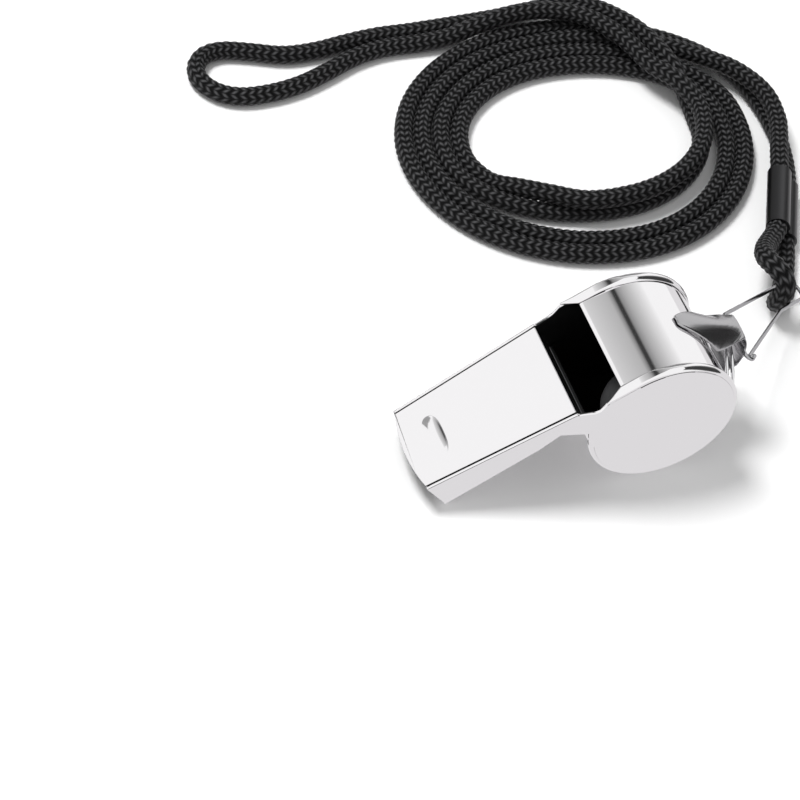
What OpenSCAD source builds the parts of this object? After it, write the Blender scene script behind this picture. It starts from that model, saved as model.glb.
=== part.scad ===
// Metal pea whistle with a split ring, a wire clip and a doubled neck cord.
// X runs from the mouthpiece to the round chamber, Y along the chamber's axis and Z up.
// The origin is on the table, under the middle of the whistle. Sizes are in millimetres.

/* [Chamber] */
// Outer radius of the chamber over the rolled rims of the side plates
rim_radius = 11.35; // [10.8:0.05:12.2]
// Width of the whistle over its two side plates
shell_width = 19.2; // [18.4:0.1:21]
// Thickness of the sheet metal
sheet = 0.45; // [0.35:0.05:0.55]
// Width of the rolled rims, along the chamber's axis
rim_width = 1.6; // [1.2:0.1:2]
// Gap between sheet parts where they meet
seam_gap = 0.05; // [0.03:0.01:0.1]
// Width of the flat end of the rim on top of the chamber
rim_flat = 4.95; // [4.5:0.05:5.4]

/* [Mouthpiece] */
// Distance from the chamber's axis to the tip of the side plates
mouth_reach = 33.3; // [31:0.1:37]
// Height of the flat top over the chamber's axis
mouth_height = 11.15; // [11:0.05:11.3]
// Depth of the side plates at the tip
tip_depth = 5.37; // [5:0.01:5.8]
// Depth of the side plates at the bend of the underside
bend_depth = 3.55; // [3.2:0.05:3.9]
// Distance from the chamber's axis to the bend of the underside
bend_reach = 16.9; // [15.5:0.1:18.5]
// Depth of the side plates at the throat
throat_depth = 2.65; // [2.5:0.05:2.9]
// Distance from the chamber's axis to the throat
throat_reach = 13.2; // [12.8:0.1:14]
// Width over the side plates at the tip
tip_width = 14.8; // [13.5:0.1:16]
// Width over the side plates at the front of the window
root_width = 17.6; // [17:0.1:18.2]
// How far the top plate's round end stands past its corners
tip_bulge = 0.9; // [0.5:0.1:1.5]
// Gap between the top plate's sides and the side plates
top_gap = 0.15; // [0.1:0.05:0.3]
// Length of the raised tooth bar across the top
bar_length = 7; // [5:0.1:9]
// Width of the tooth bar
bar_width = 2.4; // [1.6:0.1:3]
// Height of the tooth bar over the top plate
bar_height = 0.35; // [0.2:0.05:0.5]
// Distance from the tip of the side plates to the middle of the tooth bar
bar_inset = 4.15; // [3:0.05:6]

/* [Window] */
// Distance from the chamber's axis to the front edge of the window
window_front = 9.55; // [9.3:0.05:9.8]
// Distance from the chamber's axis to the lip at the back of the window
window_back = 2.4; // [2:0.1:3]
// Height of the air slit
slit_height = 1; // [0.8:0.05:1.1]

/* [Lug] */
// Height of the lug's ridge over the rolled rims
lug_rise = 4.7; // [4.4:0.05:5.2]
// Half the width of the lug where it stands on the chamber
lug_half_width = 3.7; // [3.3:0.1:4.2]

/* [Pea] */
// Diameter of the pea
pea_diameter = 12; // [10:0.1:12.5]
// Clearance between the pea and the chamber wall
pea_gap = 0.1; // [0.05:0.05:0.3]
// Gap between the pea and the right side plate
pea_side_gap = 0.35; // [0.1:0.05:3]

/* [Split ring] */
// Outer diameter of the split ring
ring_diameter = 12.8; // [12.4:0.1:13.4]
// Width of the ring's flat wire, across the ring
ring_wire = 0.9; // [0.7:0.05:1]
// Thickness of the ring's flat wire, along the ring's axis
ring_leaf = 0.4; // [0.3:0.05:0.45]
// Gap between the two turns of the ring
ring_turn_gap = 0.42; // [0.41:0.01:0.5]

/* [Wire clip] */
// Diameter of the clip's wire
clip_wire = 0.6; // [0.5:0.05:0.7]
// Length of the clip's long leg
clip_length = 25; // [23:0.5:25]
// Distance between the legs at the clip's round end
clip_width = 3.6; // [3.5:0.05:3.8]
// Length of the clip's base, along the chamber's axis
clip_base = 9.6; // [9.4:0.1:10]
// Length over which the two legs run side by side
clip_parallel = 9; // [6:0.5:11]
// Length of the short end of wire beside the clip's corner
clip_tail = 3; // [2:0.5:4]

/* [Neck cord] */
// Diameter of the cord's plain solid
cord_diameter = 2.5; // [2:0.1:2.5]
// Length of the crimp sleeve
sleeve_length = 12; // [11:0.5:13]
// Bore of each half of the crimp sleeve
sleeve_bore = 2.9; // [2.8:0.05:3]
// Wall of the crimp sleeve
sleeve_wall = 0.45; // [0.4:0.05:0.45]

/* [Hidden] */
$fn = 96;

// Radii of the chamber, from the rims inwards
face_radius = rim_radius - sheet + seam_gap;
band_radius = rim_radius - sheet - seam_gap;
chamber_radius = band_radius - sheet;
// Planes across the chamber, as distances from the middle
face_outside = shell_width / 2;
face_inside = face_outside - sheet;
rim_inside = face_outside - rim_width;
band_half = face_inside - seam_gap;
// Heights over the chamber's axis, in the whistle's own frame
mouth_under = mouth_height - sheet;
tip_under = mouth_height - tip_depth;
tip_slant_share = 0.13;
tip_corner = mouth_reach - tip_slant_share * tip_depth;
// The whistle stands on its rims and on the lower corners of its tip
tip_distance = norm([tip_corner, tip_under]);
pitch = asin(rim_radius / tip_distance) + atan2(tip_under, tip_corner);
// Overrun of cutting shapes
overrun = 1;

// Shares of the dip that the side plates have beside the window: along it and down
dip_depth = 0.85;
dip_shares = [[0, 0], [0.16, 0.53], [0.33, 1], [0.53, 1], [0.66, 0.76], [0.96, 0.3], [1, 0]];
// The notch between the throat and the chamber, as shares of the chamber's radius
notch_shares = [-0.92, 0.536];
// Where the side plates begin to bend inwards, as a share of the window's front
bend_start_share = 0.68;
rim_start_angle = 161.5;
rim_top_angle = 90;
// The rim's flat end laps into its round part, a hair below its surfaces
rim_flat_lap = 0.3;
rim_flat_step = 0.02;
band_end_angle = 150.3;
lip_angle = 81;

// Heights of the windway floor's middle plane under the flat top
floor_lift = 0.45;
slit_floor = mouth_under - slit_height - sheet / 2;
floor_front_share = 0.05;
floor_front = tip_corner + floor_front_share * tip_depth;
floor_foot_share = 0.502;
floor_foot_reach_share = 1.015;

// The lug in the whistle's frame: angles are taken from +X about the chamber's axis
lug_gap = 0.1;
lug_seat = band_radius + lug_gap + sheet;
lug_reach = rim_radius + lug_rise;
lug_tip_angle = 40.4;
lug_leave_angle = 1.5;
lug_ridge_angle = -6.4;
lug_foot_angle = -33;
lug_leave_share = 0.75;
// Shares of the front slope, and of the half width there
lug_front_shares = [[0, 0.22], [0.1, 0.38], [0.2, 0.5], [0.32, 0.64], [0.44, 0.76],
    [0.56, 0.86], [0.66, 0.94], [0.75, 1], [0.84, 0.9], [0.92, 0.76], [0.97, 0.67], [1, 0.62]];
// Shares of the turn from ridge to foot, of the height there and of the half width
lug_back_shares = [[0.1, 1, 0.66], [0.21, 1, 0.69], [0.36, 0.985, 0.7], [0.51, 0.965, 0.7],
    [0.62, 0.92, 0.7], [0.72, 0.84, 0.7], [0.81, 0.72, 0.7], [0.89, 0.56, 0.72],
    [0.96, 0.3, 0.76], [1, 0, 0.84]];
lug_cells = 8;

// Places of the ring's and the clip's wires in the lug, seen along the chamber's axis
ring_rise = 2.15;
ring_orbit = rim_radius + ring_rise;
ring_angle = -17.5;
ring_yaw = 12.5;
ring_side = -0.3;
ring_middle = (ring_diameter - ring_wire) / 2;
ring_pitch = ring_leaf + ring_turn_gap;
ring_steps = 30;
clip_rise = 3.75;
clip_orbit = rim_radius + clip_rise;
clip_angle = -14.8;
clip_side = -0.4;
clip_slope = 31.5;
clip_lean = 30.7;

// Cord places on the table, from the chamber's axis: X, Y and height
cord_radius = cord_diameter / 2;
cord_lie = 1.45;
cord_pitch = 2.95;
sleeve_middle = [39.55, 32.65];
sleeve_turn = 64.5;
sleeve_lower = [0.85, 1.9];
sleeve_upper = [-0.85, 4.7];
sleeve_radius = sleeve_bore / 2 + sleeve_wall;
sleeve_web = 2.6;
clip_cord_route = [[37.7, 26.9, 1.9], [36.4, 24.3, 1.6], [35, 21.7, 1.45], [33.3, 18.8, 1.45],
    [31.4, 16.3, 1.5], [29.9, 14.6, 2.2], [29.6, 13.6, 3.9], [30.4, 13.3, 5.7],
    [31, 13.2, 7.2], [29.9, 14, 8.3], [28.9, 16, 8.1], [29.1, 18.6, 7.1], [30.9, 21.4, 5.9],
    [33.6, 24.4, 5], [36.2, 27.6, 4.7]];
lower_tail_route = [[42.9, 37.7, 1.9], [44.6, 41.5, 1.6], [45.8, 45.5, 1.45], [46.6, 50, 1.45]];
upper_tail_route = [[41.4, 38.4, 4.7], [43.4, 43, 4.6], [45.2, 47, 4.4], [46.5, 50.8, 4.35]];
coil_middle = [15, 56.5];
// Half sizes of the outer strand for each quarter turn, along X and along Y
coil_quarters = [[31.8, 25.1], [29.1, 25.1], [29.1, 25.65], [26.6, 25.65],
    [26.6, 19.15], [23.15, 19.15], [23.15, 16.6], [19.9, 16.6]];
coil_rings = 24;
coil_turn = 720;
// How the inner strand lies beside the outer one: 0 on top of it, 90 level with it
lean_by_angle = [[0, 0], [35, 60], [90, 90], [570, 90], [615, 0], [720, 0]];
outer_exit_route = [[34.8, 61.5, 2.8], [33.8, 66.5, 4.9], [31.3, 74.3, 5.4],
    [26.6, 81.2, 4.9], [22, 84.6, 3.6], [17, 85.9, 2], [11, 86, 1.45], [4, 85.9, 1.45]];
end_route = [[-4, 85.9, 1.45], [-9.5, 86.1, 1.45], [-15, 85.7, 1.45], [-20.5, 85, 1.45],
    [-26, 85.2, 1.45], [-31, 87, 1.45], [-35.5, 88.4, 1.45], [-38.9, 87.8, 1.45],
    [-40.9, 85.2, 1.45], [-40.8, 82, 1.45], [-38.7, 79, 1.45], [-35.3, 77.4, 1.45],
    [-30.5, 77.2, 1.45], [-25.5, 78, 1.45], [-20.5, 79.8, 1.45], [-15, 82.1, 1.45],
    [-9.5, 83.1, 1.45]];
inner_exit_route = [[-4, 82.9, 1.45], [1.5, 82.8, 1.9], [7, 83.1, 3.4], [13, 83.3, 4.4],
    [19, 82.2, 4.9], [24.4, 78.9, 5.2], [28.4, 72.8, 5.2], [30.6, 66.5, 4.9], [33.2, 61.8, 5.2]];

function polar(radius, angle) = radius * [cos(angle), sin(angle)];
function between(a, b, share) = a + (b - a) * share;
function unit(v) = v / norm(v);
function joined(lists) = [for (list = lists, item = list) item];
function reversed(list) = [for (i = [len(list) - 1:-1:0]) list[i]];

// The stamped hood of the lug: rows of points from its tip over the ridge to its foot
function lug_front_row(s) =
    let (
        tip = polar(lug_seat, lug_tip_angle),
        ridge = polar(lug_reach, lug_ridge_angle),
        leave = polar(lug_seat, lug_leave_angle),
        down = s.x / lug_leave_share
    )
    [
        between(tip, ridge, s.x),
        down <= 1
            ? polar(lug_seat, between(lug_tip_angle, lug_leave_angle, down))
            : between(leave, ridge, (s.x - lug_leave_share) / (1 - lug_leave_share)),
        lug_half_width * s.y
    ];
function lug_back_row(s) =
    let (p = polar(between(lug_seat, lug_reach, s.y),
        between(lug_ridge_angle, lug_foot_angle, s.x)))
    [p, p, lug_half_width * s.z];
lug_rows = concat(
    [for (s = lug_front_shares) lug_front_row(s)],
    [for (s = lug_back_shares) lug_back_row(s)]
);

// The origin lies under the middle of the whistle, from its tip to the back of its lug
whistle_front = cos(pitch) * (mouth_reach + tip_bulge) + sin(pitch) * mouth_height;
whistle_back = max([for (row = lug_rows) cos(pitch) * row[0].x - sin(pitch) * row[0].y]);
middle = (whistle_front - whistle_back) / 2;
echo(pitch = pitch, middle = middle);

// A point of the whistle's frame, seen along the chamber's axis, set on the table
function stood(p) = [
    middle + cos(pitch) * p.x - sin(pitch) * p.y,
    rim_radius + sin(pitch) * p.x + cos(pitch) * p.y
];

// The outline of a strip of even thickness that follows a line of points
function strip_side(line, half) = [
    for (i = [0:len(line) - 1])
        let (
            before = unit(line[max(i, 1)] - line[max(i, 1) - 1]),
            last = len(line) - 2,
            after = unit(line[min(i, last) + 1] - line[min(i, last)]),
            across = unit([-(before + after).y, (before + after).x])
        )
        line[i] + across * half / (across * [-before.y, before.x])
];
function strip(line, thickness) =
    concat(strip_side(line, thickness / 2), reversed(strip_side(line, -thickness / 2)));

// A smooth line through chosen points, with a number of steps between each two
function spline_at(a, b, c, d, t) =
    0.5 * ((2 * b) + (c - a) * t + (2 * a - 5 * b + 4 * c - d) * t * t
    + (3 * b - a - 3 * c + d) * t * t * t);
function smooth(points, steps) =
    let (last = len(points) - 1)
    concat(
        [for (i = [0:last - 1], k = [0:steps - 1])
            spline_at(points[max(i - 1, 0)], points[i], points[i + 1],
                points[min(i + 2, last)], k / steps)],
        [points[last]]
    );

// A tube along a path, square to given directions at its two ends
function heading(path, i, first, last) =
    i == 0 ? unit(first) : i == len(path) - 1 ? unit(last) : unit(path[i + 1] - path[i - 1]);
function squared(v, along) = unit(v - (v * along) * along);
function carried_sides(path, first, last) =
    [for (
        i = 0, side = unit(cross(unit(first), [0, 0, 1]));
        i < len(path);
        i = i + 1, side = squared(side, heading(path, min(i, len(path) - 1), first, last))
    ) side];
module tube(path, first, last, radius, sides) {
    carried = carried_sides(path, first, last);
    points = [
        for (i = [0:len(path) - 1])
            let (up = cross(carried[i], heading(path, i, first, last)))
            for (k = [0:sides - 1])
                let (angle = 360 * (k + 0.5) / sides)
                path[i] + radius * (cos(angle) * carried[i] + sin(angle) * up)
    ];
    ends = len(path) - 1;
    faces = joined([
        [for (i = [0:ends - 1], k = [0:sides - 1])
            let (a = i * sides + k, b = i * sides + (k + 1) % sides)
            [a, b, a + sides]],
        [for (i = [0:ends - 1], k = [0:sides - 1])
            let (a = i * sides + k, b = i * sides + (k + 1) % sides)
            [b, b + sides, a + sides]],
        [[for (k = [sides - 1:-1:0]) k]],
        [[for (k = [0:sides - 1]) ends * sides + k]]
    ]);
    polyhedron(points, faces);
}

// The whistle's frame: X and Y are its side view, Z points to the near side
module in_shell() {
    translate([middle, 0, rim_radius])
        rotate([0, -pitch, 0])
            rotate([90, 0, 0])
                children();
}
module across_shell(low, high) {
    translate([0, 0, low])
        linear_extrude(high - low)
            children();
}
// A shape seen from above the mouthpiece, drawn through the whole height
module through_shell() {
    translate([0, 2 * rim_radius, 0])
        rotate([90, 0, 0])
            linear_extrude(4 * rim_radius)
                children();
}

// Side view of the strip that a side plate sends along the mouthpiece
module mouth_outline() {
    dip = window_front - rim_flat;
    polygon(concat(
        [[0, 0], [0, mouth_height]],
        [for (s = dip_shares) [-rim_flat - dip * s.x, mouth_height - dip_depth * s.y]],
        [
            [-mouth_reach, mouth_height],
            [-tip_corner, tip_under],
            [-bend_reach, mouth_height - bend_depth],
            [-throat_reach, mouth_height - throat_depth],
            face_radius * notch_shares
        ]
    ));
}
// The bent sheet of a side plate, seen from above
module plate_plan() {
    bend = bend_start_share * window_front;
    line = [
        [rim_radius + overrun, face_outside],
        [-bend, face_outside],
        [-window_front, root_width / 2],
        [-mouth_reach - overrun, tip_width / 2]
    ];
    polygon(concat(line, [for (p = reversed(line)) p - [0, sheet]]));
}
module near_plate() {
    bend = bend_start_share * window_front;
    across_shell(face_inside, face_outside)
        difference() {
            circle(r = face_radius);
            intersection() {
                mouth_outline();
                translate([-bend - rim_radius, 0])
                    square([rim_radius, 2 * rim_radius]);
            }
        }
    intersection() {
        across_shell(0, shell_width)
            mouth_outline();
        through_shell()
            plate_plan();
    }
    translate([0, 0, rim_inside])
        rotate([0, 0, rim_start_angle])
            rotate_extrude(angle = 360 - rim_start_angle + rim_top_angle)
                translate([rim_radius - sheet, 0])
                    square([sheet, rim_width]);
    difference() {
        across_shell(rim_inside, face_outside)
            translate([-rim_flat, rim_radius - sheet + rim_flat_step])
                square([rim_flat + rim_flat_lap, sheet - 2 * rim_flat_step]);
        through_shell()
            polygon([
                [-rim_flat - overrun, rim_inside - overrun],
                [-window_back, rim_inside - overrun],
                [-window_back, rim_inside],
                [-rim_flat, face_outside],
                [-rim_flat - overrun, face_outside]
            ]);
    }
}
module right_plate() {
    color("gainsboro")
        in_shell()
            near_plate();
}
module left_plate() {
    color("gainsboro")
        in_shell()
            mirror([0, 0, 1])
                near_plate();
}

// The strip round the chamber, ending in the lip over the window
module chamber_band() {
    tangent_point = polar(band_radius, lip_angle);
    lip_length = (tangent_point.x + window_back) / sin(lip_angle);
    color("silver")
        in_shell() {
            translate([0, 0, -band_half])
                rotate([0, 0, band_end_angle])
                    rotate_extrude(angle = 360 - band_end_angle + lip_angle)
                        translate([chamber_radius, 0])
                            square([sheet, 2 * band_half]);
            translate([tangent_point.x, tangent_point.y, seam_gap - rim_inside])
                rotate([0, 0, lip_angle + 90])
                    translate([-seam_gap, 0, 0])
                        cube([lip_length + seam_gap, sheet, 2 * (rim_inside - seam_gap)]);
        }
}

// The strip under the windway, bent down to the chamber's wall
module windway_floor() {
    foot = face_radius * floor_foot_share;
    line = [
        [-floor_front, tip_under + floor_lift + sheet],
        [-bend_reach, mouth_height - bend_depth + floor_lift],
        [-throat_reach, mouth_height - throat_depth + floor_lift],
        [-window_front - sheet, slit_floor],
        [-window_front * floor_foot_reach_share, foot + sheet / 2]
    ];
    half_root = root_width / 2 - sheet - seam_gap;
    half_tip = tip_width / 2 - sheet - seam_gap;
    color("silver")
        in_shell()
            intersection() {
                across_shell(-shell_width / 2, shell_width / 2)
                    polygon(strip(line, sheet));
                through_shell()
                    polygon([
                        [0, half_root], [-window_front, half_root],
                        [-mouth_reach, half_tip], [-mouth_reach, -half_tip],
                        [-window_front, -half_root], [0, -half_root]
                    ]);
            }
}

// The flat top plate with its raised tooth bar
module mouthpiece_top() {
    half_root = root_width / 2 - sheet - top_gap;
    half_tip = tip_width / 2 - sheet - top_gap;
    bulge_radius = (half_tip * half_tip + tip_bulge * tip_bulge) / (2 * tip_bulge);
    bar_half = (bar_length - bar_width) / 2;
    color("whitesmoke")
        in_shell() {
            intersection() {
                across_shell(-shell_width / 2, shell_width / 2)
                    translate([-mouth_reach - 2 * tip_bulge, mouth_under])
                        square([mouth_reach + 2 * tip_bulge - window_front, sheet]);
                through_shell()
                    intersection() {
                        polygon([
                            [-window_front, half_root], [-mouth_reach, half_tip],
                            [-mouth_reach - 2 * tip_bulge, half_tip],
                            [-mouth_reach - 2 * tip_bulge, -half_tip],
                            [-mouth_reach, -half_tip], [-window_front, -half_root]
                        ]);
                        union() {
                            translate([bulge_radius - mouth_reach - tip_bulge, 0])
                                circle(r = bulge_radius);
                            translate([-mouth_reach + overrun, -half_root])
                                square([mouth_reach, 2 * half_root]);
                        }
                    }
            }
            translate([bar_inset - mouth_reach, mouth_height, 0])
                rotate([-90, 0, 0])
                    linear_extrude(bar_height)
                        union() {
                            square([bar_width, 2 * bar_half], center = true);
                            for (side = [-1, 1])
                                translate([0, side * bar_half])
                                    circle(d = bar_width);
                        }
        }
}

// The sheet of the lug between its two sides, and the way out of it
function lug_point(row, column) =
    let (
        side = 2 * column / lug_cells - 1,
        r = lug_rows[row],
        p = between(r[1], r[0], 1 - side * side)
    )
    [p.x, p.y, side * r[2]];
function lug_normal(row, column) =
    let (
        last = len(lug_rows) - 1,
        along = lug_point(min(row + 1, last), column) - lug_point(max(row - 1, 0), column),
        over = lug_point(row, min(column + 1, lug_cells)) - lug_point(row, max(column - 1, 0))
    )
    unit(cross(over, along));
module lanyard_lug() {
    rows = len(lug_rows);
    wide = lug_cells + 1;
    outside = [for (i = [0:rows - 1], k = [0:lug_cells]) lug_point(i, k)];
    inside = [for (i = [0:rows - 1], k = [0:lug_cells])
        lug_point(i, k) - sheet * lug_normal(i, k)];
    under = rows * wide;
    cells = [for (i = [0:rows - 2], k = [0:lug_cells - 1]) i * wide + k];
    rim = concat(
        [for (k = [0:lug_cells - 1]) k],
        [for (i = [0:rows - 2]) i * wide + lug_cells],
        [for (k = [lug_cells:-1:1]) (rows - 1) * wide + k],
        [for (i = [rows - 1:-1:1]) i * wide]
    );
    faces = joined([
        [for (a = cells) [a, a + wide, a + 1]],
        [for (a = cells) [a + 1, a + wide, a + wide + 1]],
        [for (a = cells) [under + a, under + a + 1, under + a + wide]],
        [for (a = cells) [under + a + 1, under + a + wide + 1, under + a + wide]],
        [for (i = [0:len(rim) - 1])
            [rim[i], rim[(i + 1) % len(rim)], under + rim[i]]],
        [for (i = [0:len(rim) - 1])
            [rim[(i + 1) % len(rim)], under + rim[(i + 1) % len(rim)], under + rim[i]]]
    ]);
    color("silver")
        in_shell()
            polyhedron(concat(outside, inside), faces);
}

// The pea lies on the lowest part of the chamber
module pea() {
    orbit = chamber_radius - pea_gap - pea_diameter / 2;
    offset = face_inside - pea_side_gap - pea_diameter / 2;
    color("dimgray")
        translate([middle, -offset, rim_radius - orbit])
            sphere(d = pea_diameter);
}

// The split ring: two turns of flat wire that step from one layer to the next
ring_pin = stood(polar(ring_orbit, ring_angle));
ring_start = 24;
ring_sweep = 720;
ring_step_angles = [[0, 0], [335, 0], [385, 1], [ring_sweep, 1]];
function ring_place(angle) = [
    ring_middle * cos(angle),
    ring_middle * sin(angle),
    ring_pitch * (lookup(angle, ring_step_angles) - 0.5)
];
module split_ring() {
    angles = [for (i = [0:2 * ring_steps])
        between(ring_start, ring_sweep - ring_start, i / ring_steps / 2)];
    corners = [[-ring_wire, -ring_leaf], [ring_wire, -ring_leaf],
        [ring_wire, ring_leaf], [-ring_wire, ring_leaf]] / 2;
    points = [for (angle = angles, c = corners)
        ring_place(angle) + [c.x * cos(angle), c.x * sin(angle), c.y]];
    last = 4 * (len(angles) - 1);
    faces = joined([
        [for (i = [0:len(angles) - 2], k = [0:3])
            [4 * i + k, 4 * i + (k + 1) % 4, 4 * i + 4 + k]],
        [for (i = [0:len(angles) - 2], k = [0:3])
            [4 * i + (k + 1) % 4, 4 * i + 4 + (k + 1) % 4, 4 * i + 4 + k]],
        [[3, 2, 1, 0]],
        [[last, last + 1, last + 2, last + 3]]
    ]);
    color("lightgray")
        translate([ring_pin.x, ring_side, ring_pin.y - ring_middle])
            rotate([0, 0, -ring_yaw])
                rotate([0, 90, 0])
                    polyhedron(points, faces);
}

// The wire clip lies in one sloping plane: X down the slope, Y along the hinge
clip_pin = stood(polar(clip_orbit, clip_angle));
clip_bend = 0.8;
clip_wide_bend = 6;
clip_end_angles = [60, 30, 0, -30, -60];
bend_steps = 4;
function bend(a, b, c, radius) =
    let (
        back = unit(a - b),
        on = unit(c - b),
        half = acos(back * on) / 2,
        centre = b + unit(back + on) * radius / sin(half),
        start = b + back * radius / tan(half),
        finish = b + on * radius / tan(half)
    )
    [for (i = [0:bend_steps])
        centre + radius * unit(between(start, finish, i / bend_steps) - centre)];
module wire_clip() {
    half = clip_base / 2;
    way = [cos(clip_lean), sin(clip_lean), 0];
    left = [-sin(clip_lean), cos(clip_lean), 0];
    far_corner = [0, clip_side + half, 0];
    near_corner = [0, clip_side - half, 0];
    far_end = far_corner + clip_length * way;
    end_middle = far_end - left * clip_width / 2;
    near_end = far_end - left * clip_width;
    near_bend = near_end - clip_parallel * way;
    tail_way = unit(near_bend - near_corner);
    inside = [-tail_way.y, tail_way.x, 0];
    side_gap = clip_wire + seam_gap;
    leg_foot = near_corner + side_gap * (inside + tail_way * (1 - inside.x) / tail_way.x);
    tail_end = near_corner + clip_tail * tail_way;
    path = concat(
        [tail_end],
        bend(tail_end, near_corner, far_corner, clip_bend),
        bend(near_corner, far_corner, far_end, clip_bend),
        [far_end],
        [for (angle = clip_end_angles)
            end_middle + clip_width / 2 * (left * sin(angle) + way * cos(angle))],
        [near_end],
        bend(near_end, near_bend, leg_foot, clip_wide_bend),
        [leg_foot]
    );
    color("darkgray")
        translate([clip_pin.x, 0, clip_pin.y])
            rotate([0, clip_slope, 0])
                tube(path, -tail_way, leg_foot - near_bend, clip_wire / 2, 8);
}

// The crimp sleeve: two bores side by side, one strand in each
sleeve_way = [cos(sleeve_turn), sin(sleeve_turn), 0];
sleeve_right = [sin(sleeve_turn), -cos(sleeve_turn), 0];
function sleeve_place(bore) =
    [sleeve_middle.x, sleeve_middle.y, 0] + bore.x * sleeve_right + [0, 0, bore.y];
module sleeve_rod(bore, diameter, length) {
    translate(sleeve_place(bore) - sleeve_way * length / 2)
        rotate([0, 90, sleeve_turn])
            cylinder(h = length, d = diameter, $fn = 48);
}
module crimp_sleeve() {
    bores = [sleeve_lower, sleeve_upper];
    apart = sleeve_upper - sleeve_lower;
    web_length = sleeve_length - 2 * seam_gap;
    color("dimgray")
        translate([middle, 0, 0])
            difference() {
                union() {
                    translate(sleeve_place((sleeve_lower + sleeve_upper) / 2))
                        rotate([0, 0, sleeve_turn])
                            rotate([atan2(apart.y, -apart.x), 0, 0])
                                cube([web_length, norm(apart), sleeve_web], center = true);
                    for (bore = bores)
                        sleeve_rod(bore, 2 * sleeve_radius, sleeve_length);
                }
                for (bore = bores)
                    sleeve_rod(bore, sleeve_bore, sleeve_length + 2 * overrun);
            }
}

// Free stretches of the cord; the ends in the sleeve meet in its middle
module cord_run(route, first, last) {
    color("#202022")
        translate([middle, 0, 0])
            tube(smooth(route, 2), first, last, cord_radius, 8);
}
module clip_cord() {
    cord_run(
        concat([sleeve_place(sleeve_lower)], clip_cord_route, [sleeve_place(sleeve_upper)]),
        -sleeve_way, sleeve_way
    );
}

// The coil: the outer strand lies on the table, the inner one beside it or on it
function quarter(angle) = coil_quarters[min(floor(angle / 90), len(coil_quarters) - 1)];
function coil_point(angle, strand) =
    let (
        q = quarter(angle),
        inward = -unit([q.y * cos(angle), q.x * sin(angle)]),
        lean = lookup(angle, lean_by_angle),
        flat = [coil_middle.x + q.x * cos(angle), coil_middle.y + q.y * sin(angle)]
            + strand * cord_pitch * sin(lean) * inward
    )
    [flat.x, flat.y, cord_lie + strand * cord_pitch * cos(lean)];
coil_way = [0, 1, 0];
function coil_path(strand) =
    let (steps = coil_rings * coil_turn / 360)
    concat(
        [coil_point(0, strand) - cord_diameter * coil_way],
        [for (i = [0:steps]) coil_point(coil_turn * i / steps, strand)],
        [coil_point(coil_turn, strand) + cord_diameter * coil_way]
    );
module coil(strand) {
    color("#202022")
        translate([middle, 0, 0])
            tube(coil_path(strand), coil_way, coil_way, cord_radius, 6);
}
function coil_start(strand) = coil_path(strand)[0];
function coil_finish(strand) = reversed(coil_path(strand))[0];
module cord_coil_outer() {
    coil(0);
}
module cord_coil_inner() {
    coil(1);
}
module cord_tails() {
    cord_run(
        concat([sleeve_place(sleeve_lower)], lower_tail_route, [coil_start(0)]),
        sleeve_way, coil_way
    );
    cord_run(
        concat([sleeve_place(sleeve_upper)], upper_tail_route, [coil_start(1)]),
        sleeve_way, coil_way
    );
}
module cord_end_loop() {
    cord_run(
        concat([coil_finish(0)], outer_exit_route, end_route, inner_exit_route, [coil_finish(1)]),
        coil_way, -coil_way
    );
}

// The least gap between rings of one strand that lie more than half a turn apart
function least_gap(path) =
    min([for (i = [0:len(path) - 1], k = [i + coil_rings / 2:1:len(path) - 1])
        norm(path[i] - path[k])]) - cord_diameter;
echo(outer_strand_gap = least_gap(coil_path(0)), inner_strand_gap = least_gap(coil_path(1)));
echo(split_ring_gap = ring_pitch - ring_leaf);

right_plate();
left_plate();
chamber_band();
windway_floor();
mouthpiece_top();
lanyard_lug();
pea();
split_ring();
wire_clip();
crimp_sleeve();
clip_cord();
cord_tails();
cord_coil_outer();
cord_coil_inner();
cord_end_loop();
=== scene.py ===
import math

import bmesh
import bpy
import numpy as np
from mathutils import Matrix, Vector


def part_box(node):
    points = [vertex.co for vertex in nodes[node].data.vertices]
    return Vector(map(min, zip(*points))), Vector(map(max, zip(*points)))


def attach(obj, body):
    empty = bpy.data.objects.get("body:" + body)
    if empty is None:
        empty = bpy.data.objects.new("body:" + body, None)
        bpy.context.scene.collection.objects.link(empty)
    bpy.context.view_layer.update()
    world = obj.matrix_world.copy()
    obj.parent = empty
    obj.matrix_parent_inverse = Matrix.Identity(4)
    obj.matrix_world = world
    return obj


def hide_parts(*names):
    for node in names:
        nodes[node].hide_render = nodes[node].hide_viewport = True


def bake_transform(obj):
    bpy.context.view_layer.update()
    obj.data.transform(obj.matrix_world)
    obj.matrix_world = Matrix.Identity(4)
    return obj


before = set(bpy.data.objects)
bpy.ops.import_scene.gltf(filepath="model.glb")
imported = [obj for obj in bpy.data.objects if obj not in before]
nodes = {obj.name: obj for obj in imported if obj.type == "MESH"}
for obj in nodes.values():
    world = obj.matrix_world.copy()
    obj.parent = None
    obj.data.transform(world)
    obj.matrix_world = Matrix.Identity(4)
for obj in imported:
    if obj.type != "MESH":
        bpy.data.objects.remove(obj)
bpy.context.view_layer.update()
bpy.ops.object.select_all(action="DESELECT")


# Camera: about 400 mm from the whistle, looking down at some 50 degrees from its right side,
# with a slight roll. The three directions are those of the picture.
camera_right = (0.93942894, -0.32662657, 0.10386696)
camera_down = (-0.18743299, -0.74329558, -0.64216863)
camera_forward = (0.28695319, 0.58380371, -0.75949398)
camera_place = (-0.138109, -0.225114, 0.309105)


def new_object(name, data):
    """Puts a mesh, curve, lamp or camera into the scene as an object."""
    made = bpy.data.objects.new(name, data)
    bpy.context.scene.collection.objects.link(made)
    return made


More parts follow.
